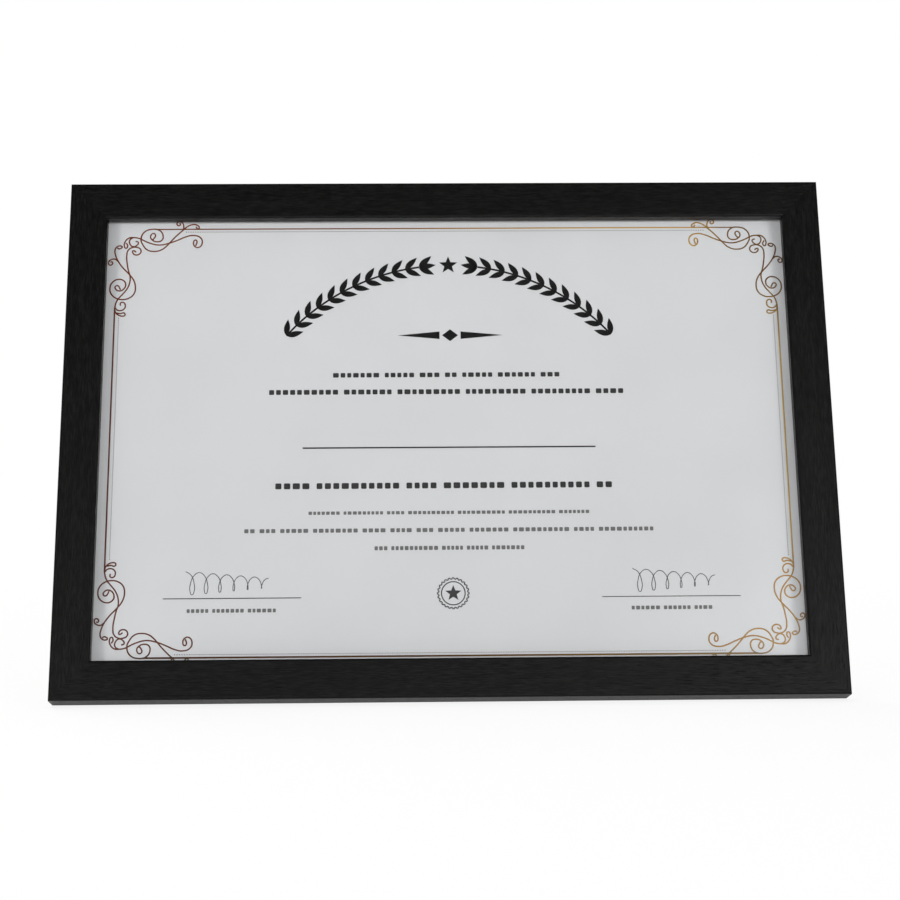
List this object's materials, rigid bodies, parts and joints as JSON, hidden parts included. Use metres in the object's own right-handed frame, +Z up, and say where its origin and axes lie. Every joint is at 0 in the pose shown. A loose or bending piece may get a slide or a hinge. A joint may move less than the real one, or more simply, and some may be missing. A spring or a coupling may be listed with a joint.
{
  "type": "certificate frame",
  "caption": "Flat-faced mitred frame with a clear pane over a bordered certificate sheet, a back panel held by turn buttons, a wall hanger and a folding easel leg.",
  "frame": {"origin": "on the floor under the middle of the standing part's box", "axes": "+X across the frame to the viewer's right, +Y from the front towards the back, +Z up"},
  "size_m": [0.36, 0.1068, 0.2437],
  "materials": {
    "black_rail": "satin black wood-grain foil over fibreboard",
    "clear_pane": "clear, polished",
    "printed_paper": "matt white sheet with a brown and gold printed border",
    "corrugated_card": "raw corrugated card",
    "back_board": "raw smooth fibreboard",
    "leg_board": "black paper over fibreboard",
    "plated_steel": "bright zinc plate"
  },
  "bodies": {
    "frame": {"top_rail": "black_rail", "bottom_rail": "black_rail", "left_rail": "black_rail", "right_rail": "black_rail", "corner_v_nails": "plated_steel", "glass_pane": "clear_pane", "certificate_sheet": "printed_paper", "filler_card": "corrugated_card", "back_panel": "back_board", "turn_button_screws": "plated_steel", "sawtooth_hanger": "plated_steel", "hanger_nails": "plated_steel", "hinge_upper_leaf": "plated_steel", "hinge_pin": "plated_steel", "panel_rivets": "plated_steel"},
    "leg": {"easel_leg": "leg_board", "hinge_lower_leaf": "plated_steel", "leg_rivets": "plated_steel"},
    "button_top_left": {"turn_button_top_left": "plated_steel"},
    "button_top_right": {"turn_button_top_right": "plated_steel"},
    "button_bottom_left": {"turn_button_bottom_left": "plated_steel"},
    "button_bottom_right": {"turn_button_bottom_right": "plated_steel"},
    "button_left": {"turn_button_left": "plated_steel"},
    "button_right": {"turn_button_right": "plated_steel"}
  },
  "joints": [
    {"name": "leg_fold", "type": "hinge", "parent": "frame", "child": "leg", "pos_m": [0, 0.0066, 0.15796], "axis": [1, 0, 0], "range_deg": [-32, 0]},
    {"name": "top_left_button_turn", "type": "hinge", "parent": "frame", "child": "button_top_left", "pos_m": [-0.1, 0.02584, 0.23359], "axis": [0, 0.9613, -0.2756], "continuous": true},
    {"name": "top_right_button_turn", "type": "hinge", "parent": "frame", "child": "button_top_right", "pos_m": [0.1, 0.02584, 0.23359], "axis": [0, 0.9613, -0.2756], "continuous": true},
    {"name": "bottom_left_button_turn", "type": "hinge", "parent": "frame", "child": "button_bottom_left", "pos_m": [-0.1, -0.03921, 0.00673], "axis": [0, 0.9613, -0.2756], "continuous": true},
    {"name": "bottom_right_button_turn", "type": "hinge", "parent": "frame", "child": "button_bottom_right", "pos_m": [0.1, -0.03921, 0.00673], "axis": [0, 0.9613, -0.2756], "continuous": true},
    {"name": "left_button_turn", "type": "hinge", "parent": "frame", "child": "button_left", "pos_m": [-0.173, -0.00669, 0.12016], "axis": [0, 0.9613, -0.2756], "continuous": true},
    {"name": "right_button_turn", "type": "hinge", "parent": "frame", "child": "button_right", "pos_m": [0.173, -0.00669, 0.12016], "axis": [0, 0.9613, -0.2756], "continuous": true}
  ]
}
